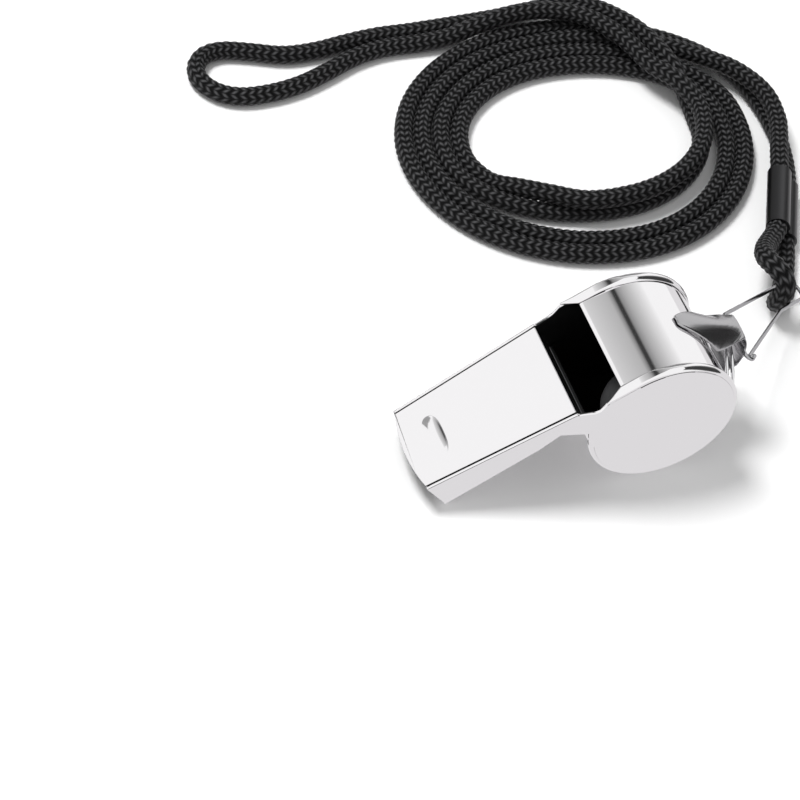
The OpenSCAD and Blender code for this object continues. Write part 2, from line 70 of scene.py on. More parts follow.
camera_data = bpy.data.cameras.new("camera")
camera_data.lens = 124.866
camera_data.sensor_width = 36
camera_data.clip_start = 0.01
camera = new_object("camera", camera_data)
camera.matrix_world = Matrix([
    [camera_right[i], -camera_down[i], -camera_forward[i], camera_place[i]] for i in range(3)
] + [[0, 0, 0, 1]])
bpy.context.scene.camera = camera


# Side plates: two mirror-image stampings of thin plated steel, polished bright. Each is a
# round face with a rolled rim and a strip along the mouthpiece, which bends inwards beside
# the window. They are soldered to the sheets between them.
mm = 0.001
axis_place = 9.77029
axis_x, axis_z = axis_place * mm, 0.01135
pitch = math.radians(30.1007)
sheet = 0.45
face_y, face_radius, face_steps = 9.6, 10.7, 160
rim_start, rim_finish = math.radians(161.5), math.pi * 2.5
window_front, ledge_front = -9.55, -5.3
notch_front, notch_back = -9.81, -9.25
strip_rows, fan_steps = 5, 6
# Pairs of a place along the whistle and a height over its axis: the strip's two long edges
# and the ledge behind the window.
strip_top = [(-33.3, 11.15), (-9.55, 11.15), (-9.37, 10.9), (-7.99, 10.5), (-7.39, 10.3),
             (-6.5, 10.3)]
strip_under = [(-33.3, 11.15), (-32.6, 5.78), (-16.9, 7.6), (-13.2, 8.5), (-10.07, 5.87),
               (-6.5, 3.787)]
window_ledge = [(0, 10.93), (-4.95, 10.93), (-5.2, 10.98), (-5.69, 10.7)]
strip_places = [-33.3, -33.1, -32.9, -32.75, -32.6, -28, -22, -16.9, -15, -13.2, -12.4, -11.6,
                -11, -10.5, -10.07, -9.8, -9.55, -9.37, -9.248, -9.1, -8.8, -8.4, -7.99, -7.7,
                -7.39, -7.1, -6.8, -6.5]
# How far from the middle the strip stands at each place along the whistle.
bend_places = [-33.3, -12, -10.8, -10, -9.4, -8.8, -8, -7.2, -6.5]
bend_sides = [7.4, 8.655, 8.722, 8.78, 8.87, 9.0, 9.25, 9.48, 9.6]


def polished_metal(name, color, roughness, spread, grain):
    """Plating with faint polishing marks: roughness varies by spread, grain is the bump."""
    metal = bpy.data.materials.new(name)
    metal.use_nodes = True
    tree = metal.node_tree
    shader = tree.nodes["Principled BSDF"]
    shader.inputs["Base Color"].default_value = (*color, 1)
    shader.inputs["Metallic"].default_value = 1
    marks = tree.nodes.new("ShaderNodeGroup")
    marks.node_tree = polish_marks
    marks.inputs["Roughness"].default_value = roughness
    marks.inputs["Spread"].default_value = spread
    marks.inputs["Grain"].default_value = grain
    tree.links.new(marks.outputs["Roughness"], shader.inputs["Roughness"])
    tree.links.new(marks.outputs["Normal"], shader.inputs["Normal"])
    return metal


def maths(tree, operation, a, b=None):
    """One Math node; a and b are sockets or numbers."""
    node = tree.nodes.new("ShaderNodeMath")
    node.operation = operation
    for socket, value in zip(node.inputs, (a, b)):
        if value is None:
            continue
        if hasattr(value, "links"):
            tree.links.new(value, socket)
        else:
            socket.default_value = value
    return node.outputs[0]


polish_marks = bpy.data.node_groups.new("polish_marks", "ShaderNodeTree")
for socket_name in ("Roughness", "Spread", "Grain"):
    polish_marks.interface.new_socket(socket_name, in_out="INPUT", socket_type="NodeSocketFloat")
polish_marks.interface.new_socket("Roughness", in_out="OUTPUT", socket_type="NodeSocketFloat")
polish_marks.interface.new_socket("Normal", in_out="OUTPUT", socket_type="NodeSocketVector")
marks_in = polish_marks.nodes.new("NodeGroupInput")
marks_out = polish_marks.nodes.new("NodeGroupOutput")
marks_place = polish_marks.nodes.new("ShaderNodeTexCoord")
handling = polish_marks.nodes.new("ShaderNodeTexNoise")
handling.inputs["Scale"].default_value = 160
handling.inputs["Detail"].default_value = 3
polish_marks.links.new(marks_place.outputs["Object"], handling.inputs["Vector"])
stretch = polish_marks.nodes.new("ShaderNodeMapping")
stretch.inputs["Rotation"].default_value = (0.2, math.radians(30), 0.15)
stretch.inputs["Scale"].default_value = (0.25, 4, 3)
polish_marks.links.new(marks_place.outputs["Object"], stretch.inputs["Vector"])
strokes = polish_marks.nodes.new("ShaderNodeTexNoise")
strokes.inputs["Scale"].default_value = 900
strokes.inputs["Detail"].default_value = 4
polish_marks.links.new(stretch.outputs["Vector"], strokes.inputs["Vector"])
offset = maths(polish_marks, "SUBTRACT", handling.outputs["Fac"], 0.5)
spread = maths(polish_marks, "MULTIPLY", offset, marks_in.outputs["Spread"])
polish_marks.links.new(maths(polish_marks, "ADD", marks_in.outputs["Roughness"], spread),
                       marks_out.inputs["Roughness"])
marks_bump = polish_marks.nodes.new("ShaderNodeBump")
marks_bump.inputs["Distance"].default_value = 0.00001
polish_marks.links.new(marks_in.outputs["Grain"], marks_bump.inputs["Strength"])
polish_marks.links.new(strokes.outputs["Fac"], marks_bump.inputs["Height"])
polish_marks.links.new(marks_bump.outputs["Normal"], marks_out.inputs["Normal"])
bright_plate = polished_metal("bright_plate", (0.9, 0.89, 0.9), roughness=0.07, spread=0.06,
                              grain=0.12)


def whistle_point(p):
    """A point of the standing whistle in its own level frame, in mm: along, across and up."""
    x, z = p[0] - axis_x, p[2] - axis_z
    return Vector((x * math.cos(pitch) + z * math.sin(pitch), p[1],
                   z * math.cos(pitch) - x * math.sin(pitch))) / mm


def standing_point(x, y, z):
    """The other way round, in metres."""
    return Vector((axis_x + mm * (x * math.cos(pitch) - z * math.sin(pitch)), y * mm,
                   axis_z + mm * (x * math.sin(pitch) + z * math.cos(pitch))))


def select_only(made):
    bpy.ops.object.select_all(action="DESELECT")
    made.select_set(True)
    bpy.context.view_layer.objects.active = made


def apply_modifier(made, kind, **settings):
    """Adds a modifier with its settings and makes it part of the mesh."""
    added = made.modifiers.new(kind.lower(), kind)
    for setting, value in settings.items():
        setattr(added, setting, value)
    select_only(made)
    bpy.ops.object.modifier_apply(modifier=added.name)


def finish_stamping(made, width, segments=2, angle=35, smooth=40):
    """Eases every edge that is still sharp, and shades flats flat and bends smooth."""
    apply_modifier(made, "BEVEL", limit_method="ANGLE", angle_limit=math.radians(angle),
                   width=width * mm, segments=segments)
    bpy.ops.object.shade_smooth_by_angle(angle=math.radians(smooth))
    apply_modifier(made, "WEIGHTED_NORMAL", keep_sharp=True)


# Dark colour painted as shade on the faces inside the whistle.
inner_shade_paint = polished_metal("inner_shade_paint", (0.05, 0.05, 0.052), roughness=0.45, spread=0.1,
                             grain=0.3)
# Dark colour painted as shade in the grooves and seams between the parts.
crease_shade_paint = polished_metal("crease_shade_paint", (0.03, 0.029, 0.03), roughness=0.35, spread=0.1,
                              grain=0.2)


def between_points(x, points):
    """The height at x on the line through the points."""
    return float(np.interp(x, [p[0] for p in points], [p[1] for p in points]))


def thickened_sheet(name, places, faces):
    """An open sheet through places in the whistle's frame, given its thickness inwards."""
    mesh = bpy.data.meshes.new(name)
    mesh.from_pydata([standing_point(*p) for p in places], [], faces)
    made = new_object(name, mesh)
    apply_modifier(made, "SOLIDIFY", thickness=sheet * mm, offset=-1)
    return made


def plate_face(name, side):
    """The strip, the fan that turns its lower edge into the face, and the flat face itself."""
    places, faces = [], []
    rows = strip_rows
    for x in strip_places:
        top, under = between_points(x, strip_top), between_points(x, strip_under)
        for k in range(rows):
            y = float(np.interp(x, bend_places, bend_sides))
            places.append((x, -side * y, top + (under - top) * k / (rows - 1)))
    for i in range(len(strip_places) - 1):
        for k in range(rows - 1):
            a = i * rows + k
            faces.append((a, a + 1, a + rows + 1, a + rows))
    column = [(len(strip_places) - 1) * rows + k for k in range(rows)]
    under = [i * rows + rows - 1 for i, x in enumerate(strip_places) if x > notch_front]
    past_face = len([x for x in strip_places if notch_front < x < notch_back])
    fan = [under]
    for j in range(1, fan_steps + 1):
        ease = (1 - math.cos(math.pi * j / fan_steps)) / 2
        fan.append([])
        for i in under:
            x, y, z = places[i]
            angle = math.atan2(z, x)
            angle += (rim_start - angle) * j / fan_steps
            reach = math.hypot(x, z)
            fan[-1].append(len(places))
            places.append((reach * math.cos(angle), y + (-side * face_y - y) * ease,
                           reach * math.sin(angle)))
    for j in range(fan_steps):
        for i in range(len(under) - 1):
            faces.append((fan[j][i], fan[j + 1][i], fan[j + 1][i + 1], fan[j][i + 1]))
    # The face's edge runs down the strip's end, along the fan's, and then round the rim.
    column += [points[-1] for points in fan[1:]] + fan[-1][-2:past_face - 1:-1]
    outline = [(face_radius * math.cos(angle), face_radius * math.sin(angle))
               for angle in np.linspace(rim_start, rim_finish, face_steps)[1:]]
    rim = []
    for x, z in outline + window_ledge:
        rim.append(len(places))
        places.append((x, -side * face_y, z))
    faces.append(tuple(column + rim))
    if side < 0:
        faces = [tuple(reversed(f)) for f in faces]
    return thickened_sheet(name, places, faces)


# The rim's section is round up to the first of the two angles and flat-topped from the
# second. From rim_crease_start on, over the drum's top, the groove at its foot gets a dark
# colour as painted shade.
rim_crown_angles = [425, 440]
rim_steps, rim_crease_start = 220, 185
rim_round, rim_square = 2, 6
rim_middle, rim_middle_y, rim_half, rim_half_y = 10.85, 8.8, 0.5, 0.8
rim_foot = [(10.71, 9.2), (10.71, 9.5), (10.86, 9.59)]
rim_turns = np.linspace(80, -84, 17)
rim_back = [(10.92, 8.1), (10.92, 9.0), (10.85, 9.15)]
rim_flat_places = [(-1.2, 1), (-2.4, 1), (-3, 0.78), (-3.6, 0.56), (-4.2, 0.34), (-4.9, 0.1)]
round_smooth = math.radians(50)


def squared_off(value, power):
    """A sine or cosine pushed outwards, so that a circle turns into a rounded square."""
    return math.copysign(abs(value) ** power, value)


def rim_section(crown):
    """The rim's section as (distance from the axis, side): round where crown is 1, else flat."""
    power = 2 / (rim_square - (rim_square - rim_round) * crown)
    bead = []
    for turn in rim_turns:
        out = squared_off(math.cos(math.radians(turn)), power)
        over = squared_off(math.sin(math.radians(turn)), power)
        bead.append((rim_middle + rim_half * out, rim_middle_y + rim_half_y * over))
    return rim_foot + bead + rim_back


def plate_rim(name, side):
    """The rolled rim: its section carried round the face, then straight on over the window."""
    sections = []
    for angle in np.linspace(rim_start, rim_finish, rim_steps):
        crown = float(np.interp(math.degrees(angle), rim_crown_angles, [1, 0]))
        sections.append([(r * math.cos(angle), y, r * math.sin(angle))
                         for r, y in rim_section(crown)])
    for x, share in rim_flat_places:
        sections.append([(x, face_y - (face_y - y) * share, r) for r, y in rim_section(0)])
    count = len(sections[0])
    places = [standing_point(x, -side * y, z) for section in sections for x, y, z in section]
    faces = [(i * count + k, i * count + (k + 1) % count,
              (i + 1) * count + (k + 1) % count, (i + 1) * count + k)
             for i in range(len(sections) - 1) for k in range(count)]
    last = (len(sections) - 1) * count
    faces += [tuple(range(count - 1, -1, -1)), tuple(range(last, last + count))]
    if side < 0:
        faces = [tuple(reversed(f)) for f in faces]
    mesh = bpy.data.meshes.new(name)
    mesh.from_pydata(places, [], faces)
    mesh.materials.append(bright_plate)
    mesh.materials.append(crease_shade_paint)
    # Painted shade: the groove at the rim's foot gets the dark colour.
    for i in range(rim_crease_start, len(sections) - 1):
        mesh.polygons[i * count + 1].material_index = 1
    made = new_object(name, mesh)
    select_only(made)
    bpy.ops.object.mode_set(mode="EDIT")
    bpy.ops.mesh.select_all(action="SELECT")
    bpy.ops.mesh.normals_make_consistent(inside=False)
    bpy.ops.object.mode_set(mode="OBJECT")
    bpy.ops.object.shade_smooth_by_angle(angle=round_smooth)
    return made


def paint_inner_shade(made, inside):
    """Paints shade on the inner faces: those that inside picks by middle and normal get a dark
    colour.
    """
    made.data.materials.append(inner_shade_paint)
    along = Vector((math.cos(pitch), 0, math.sin(pitch)))
    upward = Vector((-math.sin(pitch), 0, math.cos(pitch)))
    for face in made.data.polygons:
        normal = Vector((face.normal.dot(along), face.normal.y, face.normal.dot(upward)))
        if inside(whistle_point(face.center), normal):
            face.material_index = 1


eased_low, eased_high, eased_side = 0.2, 0.97, 0.2
crease_level = 10


def paint_crease_shade(made, inside):
    """Paints shade on the long eased edges along the mouthpiece, at their seams: a dark colour.
    """
    made.data.materials.append(crease_shade_paint)
    for face in made.data.polygons:
        upward = face.normal.z * math.cos(pitch) - face.normal.x * math.sin(pitch)
        eased = eased_low < upward < eased_high and abs(face.normal.y) > eased_side
        if eased and inside(whistle_point(face.center)):
            face.material_index = 2


turned_in, straight_in = -0.5, -7
notch_top, notch_end = 5, -6


def inside_plate(p, n):
    """Faces turned inwards, and beside the notch only those turned straight inwards."""
    beside_notch = p.z < notch_top and p.x < notch_end
    return n.y * p.y < (straight_in if beside_notch else turned_in)


def beside_top(p):
    """The strip's edge along the top plate, and the ledge's behind the window."""
    return p.z > crease_level and not window_front <= p.x <= ledge_front


plate_edge = 0.14
for name, node, side in (("right_side", "right_plate", 1), ("left_side", "left_plate", -1)):
    side_plate = plate_face(name, side)
    finish_stamping(side_plate, plate_edge, segments=3, smooth=25)
    side_plate.data.materials.append(bright_plate)
    # Painted shade: the inward faces and the long edges along the top plate get dark colours.
    paint_inner_shade(side_plate, inside_plate)
    paint_crease_shade(side_plate, beside_top)
    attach(side_plate, "whistle")
    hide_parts(node)
    side_rim = plate_rim(name + "_rim", side)
    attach(side_rim, "whistle")


# Chamber: one strip of the same sheet, rolled round between the plates and bright outside.
# It narrows at the slit under the mouthpiece, and ends in the sharp lip that splits the air.
band_radius, band_half, band_steps = 10.85, 9.1, 220
band_end, band_neck, neck_overlap = 150.3, [158, 165], 0.2
lip_half, lip_start, lip_bend, lip_reach, lip_steps = 7.95, 81, 5, 4.13, 30
lip_roll, lip_roll_start = 200, 0.87
band_inner, lip_level, turned_down = 10.6, 9, -0.8
slit_back, slit_level = -9, 4.8
band_edge = 0.05


def chamber_sheet():
    """The strip's outer face: its round part four points wide, then the narrower lip."""
    places, faces = [], []
    turns = np.radians(np.linspace(band_end, 360 + lip_start, band_steps))
    for turn in turns:
        half = float(np.interp(math.degrees(turn), band_neck,
                               [lip_half + neck_overlap, band_half]))
        for y in (-half, -lip_half, lip_half, half):
            places.append((band_radius * math.cos(turn), y, band_radius * math.sin(turn)))
    for i in range(len(turns) - 1):
        for k in range(3):
            a = i * 4 + k
            faces.append((a, a + 1, a + 5, a + 4))
    last = (len(turns) - 1) * 4
    before = (last + 1, last + 2)
    x, z = places[last][0], places[last][2]
    for i in range(lip_steps):
        share = (i + 0.5) / lip_steps
        lean = math.radians(90 - lip_start - lip_bend * share
                            - lip_roll * max(0, share - lip_roll_start))
        x -= lip_reach / lip_steps * math.cos(lean)
        z += lip_reach / lip_steps * math.sin(lean)
        places += [(x, -lip_half, z), (x, lip_half, z)]
        now = (len(places) - 2, len(places) - 1)
        faces.append((before[0], before[1], now[1], now[0]))
        before = now
    return thickened_sheet("chamber_strip", places, faces)


def inside_chamber(p, n):
    """The strip's inner face, the lip's underside and the sheared edge inside the slit."""
    inner_face = n.x * p.x + n.z * p.z < 0 and math.hypot(p.x, p.z) < band_inner
    under_lip = n.z < turned_down and p.z > lip_level
    slit_edge = p.x < slit_back and p.z > slit_level
    return inner_face or under_lip or slit_edge


chamber = chamber_sheet()
finish_stamping(chamber, band_edge)
chamber.data.materials.append(bright_plate)
# Painted shade on the strip's inner face, the lip's underside and the slit's edge.
paint_inner_shade(chamber, inside_chamber)
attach(chamber, "whistle")
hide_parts("chamber_band")


# Windway floor: the strip of sheet under the mouthpiece, bent down at the slit to meet the
# chamber and soldered in between the plates. Its upper face and its front edge get a dark colour
# as painted shade.
slit_front, turned_up, windway_edge = -10.8, 0.3, 0.08
merge_gap = 0.002
flat_angle = math.radians(0.6)


def stamped(name, node):
    """A piece that starts as a merged copy of its plain solid, ready to be shaped further."""
    mesh = nodes[node].data.copy()
    mesh.name = name
    mesh.materials.clear()
    made = new_object(name, mesh)
    select_only(made)
    bpy.ops.object.mode_set(mode="EDIT")
    bpy.ops.mesh.select_all(action="SELECT")
    bpy.ops.mesh.remove_doubles(threshold=merge_gap * mm)
    bpy.ops.mesh.dissolve_limited(angle_limit=flat_angle)
    bpy.ops.mesh.select_all(action="DESELECT")
    bpy.ops.object.mode_set(mode="OBJECT")
    return made


windway = stamped("windway_strip", "windway_floor")
finish_stamping(windway, windway_edge, segments=3)
windway.data.materials.append(bright_plate)
# Painted shade on the floor's upper face and on its front edge.
paint_inner_shade(windway, lambda p, n: n.z > turned_up or p.x > slit_front)
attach(windway, "whistle")
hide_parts("windway_floor")


# Mouthpiece top: a flat tapered plate of the same sheet, let in between the side plates. A
# long raised bar across it for the teeth is embossed from below.
bar_place, bar_base, bar_rise, bar_cut = -29.15, 11.15, 0.24, 11.3
bar_half, bar_radius, bar_corner, bar_curve = 3.7, 1.4, 0.75, 2.2
bar_foot, bar_narrowing, bar_sink = 1.12, 1.02, 0.03
bar_points, bar_rings = 64, 9
top_edge, top_under = 0.11, -0.5


def tooth_bar():
    """The embossed bar: a long dome, steep at its foot and rounded over its top."""
    places, faces, outline = [], [], []
    around, rings = bar_points, bar_rings
    for k in range(around):
        angle = 2 * math.pi * (k + 0.5) / around
        outline.append((bar_radius * squared_off(math.cos(angle), bar_corner),
                        bar_half * squared_off(math.sin(angle), bar_corner)))
    for j in range(rings):
        share = bar_foot - bar_narrowing * j / (rings - 1)
        rise = bar_rise * (1 - min(share, 1) ** bar_curve) - (bar_sink if share > 1 else 0)
        for x, y in outline:
            places.append((bar_place + x * share, y * share, bar_base + rise))
    for j in range(rings - 1):
        for k in range(around):
            a, b = j * around + k, j * around + (k + 1) % around
            faces.append((a, b, b + around, a + around))
    faces.append(tuple(range((rings - 1) * around, rings * around)))
    faces.append(tuple(reversed(range(around))))
    mesh = bpy.data.meshes.new("tooth_bar")
    mesh.from_pydata([standing_point(*p) for p in places], [], faces)
    mesh.shade_smooth()
    return mesh


# The plain solid's own bar comes off and its hole is closed.
top_plate = stamped("mouthpiece_plate", "mouthpiece_top")
bpy.ops.object.mode_set(mode="EDIT")
bar_mesh = bmesh.from_edit_mesh(top_plate.data)
bmesh.ops.delete(bar_mesh, context="VERTS",
                 geom=[v for v in bar_mesh.verts if whistle_point(v.co).z > bar_cut])
bpy.ops.mesh.select_all(action="DESELECT")
bpy.ops.mesh.select_mode(type="EDGE")
bpy.ops.mesh.select_non_manifold()
bpy.ops.mesh.edge_face_add()
bpy.ops.object.mode_set(mode="OBJECT")
finish_stamping(top_plate, top_edge, segments=3)
top_plate.data.materials.append(bright_plate)
# Painted shade: the plate's underside and its long edges by the side plates get dark colours.
paint_inner_shade(top_plate, lambda p, n: n.z < top_under)
paint_crease_shade(top_plate, lambda p: p.z > crease_level)
raised_bar = new_object("tooth_bar", tooth_bar())
raised_bar.data.materials.append(bright_plate)
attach(raised_bar, "whistle")
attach(top_plate, "whistle")
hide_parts("mouthpiece_top")


# Lug: a hood drawn from the same sheet, with a straight front slope and an open arch
# under its ridge. Its feet are soldered to the back of the chamber.
lug = stamped("lug_hood", "lanyard_lug")
apply_modifier(lug, "SUBSURF", levels=2, render_levels=2)
lug.data.shade_smooth()
# The hood is the same bright sheet; its darker colour is painted shade and painted dark
# reflection.
shaded_hood_plate = polished_metal("shaded_hood_plate", (0.45, 0.445, 0.455), roughness=0.2, spread=0.05,
                            grain=0.05)
lug.data.materials.append(shaded_hood_plate)
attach(lug, "whistle")
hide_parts("lanyard_lug")


# Pea: a dark grey ball of moulded plastic, a little dull, with the mould's seam round it. It
# lies loose in the chamber.
pea_radius, seam_half, seam_share = 6, 0.3, 0.006
pea_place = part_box("pea")
pea_centre = (pea_place[0] + pea_place[1]) / 2
bpy.ops.object.select_all(action="DESELECT")
bpy.ops.mesh.primitive_uv_sphere_add(segments=96, ring_count=48, radius=pea_radius * mm,
                                     location=pea_centre)
pea = bpy.context.object
pea.name = "pea_ball"
bpy.ops.object.transform_apply(location=True, rotation=True, scale=True)
for vertex in pea.data.vertices:
    out = vertex.co - pea_centre
    seam = max(0, 1 - abs(out.z) / (seam_half * mm))
    vertex.co = pea_centre + out * (1 - seam_share * (1 - seam))
pea.data.shade_smooth()
ball_plastic = bpy.data.materials.new("ball_plastic")
ball_plastic.use_nodes = True
tree = ball_plastic.node_tree
shader = tree.nodes["Principled BSDF"]
shader.inputs["Roughness"].default_value = 0.42
ball_place = tree.nodes.new("ShaderNodeTexCoord")
ball_grain = tree.nodes.new("ShaderNodeTexNoise")
ball_grain.inputs["Scale"].default_value = 700
ball_grain.inputs["Detail"].default_value = 5
tree.links.new(ball_place.outputs["Object"], ball_grain.inputs["Vector"])
ball_tint = tree.nodes.new("ShaderNodeMix")
ball_tint.data_type = "RGBA"
ball_tint.inputs["A"].default_value = (0.06, 0.06, 0.062, 1)
ball_tint.inputs["B"].default_value = (0.12, 0.12, 0.124, 1)
tree.links.new(ball_grain.outputs["Fac"], ball_tint.inputs["Factor"])
tree.links.new(ball_tint.outputs["Result"], shader.inputs["Base Color"])
ball_bump = tree.nodes.new("ShaderNodeBump")
ball_bump.inputs["Strength"].default_value = 0.3
ball_bump.inputs["Distance"].default_value = 0.00003
tree.links.new(ball_grain.outputs["Fac"], ball_bump.inputs["Height"])
tree.links.new(ball_bump.outputs["Normal"], shader.inputs["Normal"])
pea.data.materials.append(ball_plastic)
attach(pea, "pea")
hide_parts("pea")


# Split ring: hard steel wire of flat section, wound twice so that its turns step over each
# other. It is threaded into the lug by its free end and hangs there.
ring_edge = 0.13
wire_metal = polished_metal("wire_metal", (0.8, 0.8, 0.81), roughness=0.09, spread=0.08,
                            grain=0.2)
ring = stamped("split_ring_wire", "split_ring")
finish_stamping(ring, ring_edge, segments=3, angle=50, smooth=45)
ring.data.materials.append(wire_metal)
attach(ring, "split_ring")
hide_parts("split_ring")


# Wire clip: one long bend of round steel spring wire, hooked through the lug and closed on
# itself. It slopes down to the table, where the cord's bight goes through it.
# The pin is a point of the standing whistle, in metres, and the lengths are in millimetres.
clip_pin = Vector((0.024335, 0, 0.015335))
clip_slope = math.radians(31.5)
clip_lean = math.radians(30.7)
clip_base, clip_side = 9.6, -0.4
clip_length, clip_width, clip_parallel, clip_tail, clip_wire = 25, 3.6, 9, 3, 0.6
clip_corner, clip_waist, clip_end_steps = 0.8, 6, 24
wire_gap = clip_wire + 0.05


def rounded_bend(a, b, c, radius, steps=10):
    """The arc that rounds the corner b between a and c."""
    back, on = (a - b).normalized(), (c - b).normalized()
    half = math.acos(back.dot(on)) / 2
    centre = b + (back + on).normalized() * radius / math.sin(half)
    start = b + back * radius / math.tan(half)
    finish = b + on * radius / math.tan(half)
    return [centre + radius * (start.lerp(finish, i / steps) - centre).normalized()
            for i in range(steps + 1)]


way = Vector((math.cos(clip_lean), math.sin(clip_lean), 0))
left = Vector((-math.sin(clip_lean), math.cos(clip_lean), 0))
far_corner = Vector((0, clip_side + clip_base / 2, 0))
near_corner = Vector((0, clip_side - clip_base / 2, 0))
far_end = far_corner + clip_length * way
end_middle = far_end - left * clip_width / 2
near_end = far_end - left * clip_width
near_bend = near_end - clip_parallel * way
tail_way = (near_bend - near_corner).normalized()
inside = Vector((-tail_way.y, tail_way.x, 0))
leg_foot = near_corner + wire_gap * (inside + tail_way * (1 - inside.x) / tail_way.x)
tail_end = near_corner + clip_tail * tail_way
clip_path = (
    [tail_end]
    + rounded_bend(tail_end, near_corner, far_corner, clip_corner)
    + rounded_bend(near_corner, far_corner, far_end, clip_corner)
    + [end_middle + clip_width / 2 * (left * math.cos(t) + way * math.sin(t))
       for t in [math.pi * i / clip_end_steps for i in range(clip_end_steps + 1)]]
    + rounded_bend(near_end, near_bend, leg_foot, clip_waist)
    + [leg_foot]
)
wire_curve = bpy.data.curves.new("clip_wire", "CURVE")
wire_curve.dimensions = "3D"
wire_curve.bevel_depth = clip_wire / 2 * mm
wire_curve.bevel_resolution = 6
wire_curve.use_fill_caps = True
wire_line = wire_curve.splines.new("POLY")
wire_line.points.add(len(clip_path) - 1)
for point, place in zip(wire_line.points, clip_path):
    turned = Vector((place.x * math.cos(clip_slope), place.y, -place.x * math.sin(clip_slope)))
    point.co = (*(clip_pin + turned * mm), 1)
clip = new_object("clip_wire", wire_curve)
select_only(clip)
bpy.ops.object.convert(target="MESH")
clip = bpy.context.object
bpy.ops.object.shade_smooth_by_angle(angle=round_smooth)
clip_metal = polished_metal("clip_metal", (0.42, 0.42, 0.43), roughness=0.14, spread=0.08,
                            grain=0.2)
clip.data.materials.append(clip_metal)
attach(clip, "wire_clip")
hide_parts("wire_clip")


# Neck cord: one black cord, woven of smooth thread and 2.9 mm thick, doubled. Both strands
# leave the crimp sleeve, lie in two loose turns, cross back over them and meet in the far
# bight.
cord_lie = 1.45
cord_pitch = 2.95
sleeve_middle = np.array([39.55, 32.65])
sleeve_turn = math.radians(64.5)
sleeve_lower = (0.85, 1.9)
sleeve_upper = (-0.85, 4.7)
sleeve_right = np.array([math.sin(sleeve_turn), -math.cos(sleeve_turn), 0])
lower_tail_route = [(42.9, 37.7, 1.9), (44.6, 41.5, 1.6), (45.8, 45.5, 1.45), (46.6, 50, 1.45)]
upper_tail_route = [(41.4, 38.4, 4.7), (43.4, 43, 4.6), (45.2, 47, 4.4), (46.5, 50.8, 4.35)]
outer_exit_route = [
    (34.8, 61.5, 2.8), (33.8, 66.5, 4.9), (31.3, 74.3, 5.4), (26.6, 81.2, 4.9),
    (22, 84.6, 3.6), (17, 85.9, 2), (11, 86, 1.45), (4, 85.9, 1.45),
]
end_route = [
    (-4, 85.9, 1.45), (-9.5, 86.1, 1.45), (-15, 85.7, 1.45), (-20.5, 85, 1.45),
    (-26, 85.2, 1.45), (-31, 87, 1.45), (-35.5, 88.4, 1.45), (-38.9, 87.8, 1.45),
    (-40.9, 85.2, 1.45), (-40.8, 82, 1.45), (-38.7, 79, 1.45), (-35.3, 77.4, 1.45),
    (-30.5, 77.2, 1.45), (-25.5, 78, 1.45), (-20.5, 79.8, 1.45), (-15, 82.1, 1.45),
    (-9.5, 83.1, 1.45),
]
inner_exit_route = [
    (-4, 82.9, 1.45), (1.5, 82.8, 1.9), (7, 83.1, 3.4), (13, 83.3, 4.4), (19, 82.2, 4.9),
    (24.4, 78.9, 5.2), (28.4, 72.8, 5.2), (30.6, 66.5, 4.9), (33.2, 61.8, 5.2),
]
# The coil's two half widths, one pair for each quarter turn, and how far strand 1 leans off
# the top of strand 0 as the coil turns.
coil_middle = np.array([15, 56.5])
coil_quarters = [
    (31.8, 25.1), (29.1, 25.1), (29.1, 25.65), (26.6, 25.65),
    (26.6, 19.15), (23.15, 19.15), (23.15, 16.6), (19.9, 16.6),
]
coil_turn = 720
coil_step = 15
lean_angles = [0, 35, 90, 570, 615, 720]
lean_values = [0, 60, 90, 90, 0, 0]


def sleeve_place(bore):
    """Where a strand lies in the sleeve, from its bore's side place and height."""
    flat = np.array([sleeve_middle[0], sleeve_middle[1], 0]) + bore[0] * sleeve_right
    return tuple(flat + np.array([0, 0, bore[1]]))


def coil_point(angle, strand):
    """A point of the coil. Strand 1 lies on strand 0 at both ends and inside it between."""
    half_x, half_y = coil_quarters[min(int(angle // 90), len(coil_quarters) - 1)]
    turn = math.radians(angle)
    inward = -np.array([half_y * math.cos(turn), half_x * math.sin(turn)])
    inward /= np.linalg.norm(inward)
    lean = math.radians(np.interp(angle, lean_angles, lean_values))
    flat = coil_middle + np.array([half_x * math.cos(turn), half_y * math.sin(turn)])
    flat = flat + strand * cord_pitch * math.sin(lean) * inward
    return (flat[0], flat[1], cord_lie + strand * cord_pitch * math.cos(lean))


def coil_strand(strand):
    return [coil_point(a, strand) for a in range(0, coil_turn + 1, coil_step)]


def smooth_route(points, steps=10):
    """A smooth line through the points, the same one that the cord's plain solids follow."""
    points = np.array(points, float)
    padded = np.vstack([points[:1], points, points[-1:]])
    made = []
    for i in range(len(points) - 1):
        a, b, c, d = padded[i:i + 4]
        for k in range(steps):
            t = k / steps
            made.append(0.5 * (2 * b + (c - a) * t + (2 * a - 5 * b + 4 * c - d) * t * t
                               + (3 * b - a - 3 * c + d) * t ** 3))
    made.append(points[-1])
    return np.array(made)


def even_route(points, step):
    """The same line cut into even steps."""
    length = np.concatenate([[0], np.cumsum(np.linalg.norm(np.diff(points, axis=0), axis=1))])
    places = np.linspace(0, length[-1], max(2, round(length[-1] / step)) + 1)
    return np.stack([np.interp(places, length, points[:, k]) for k in range(3)], 1)


def relaxed_route(points, rounds):
    """The same line with its slight kinks worked out; its two ends stay."""
    points = points.copy()
    for _ in range(rounds):
        points[1:-1] += 0.5 * (0.5 * (points[:-2] + points[2:]) - points[1:-1])
    return points


# The weave's relief: six columns of V stitches run along the cord. Their arms lean by a share
# of the pitch, and are lower where two of them meet.
cord_sides = 24
cord_ring_step = 0.3
stitch_pitch = 1.3
stitch_columns = 6
stitch_depth = 0.2
stitch_lean = 0.55
strand_crown = 0.7
groove_edge = 4
relief_low, relief_gain = 0.45, 0.55
cord_body, cord_rounds = 3.1, 6
table_gap = 0.01


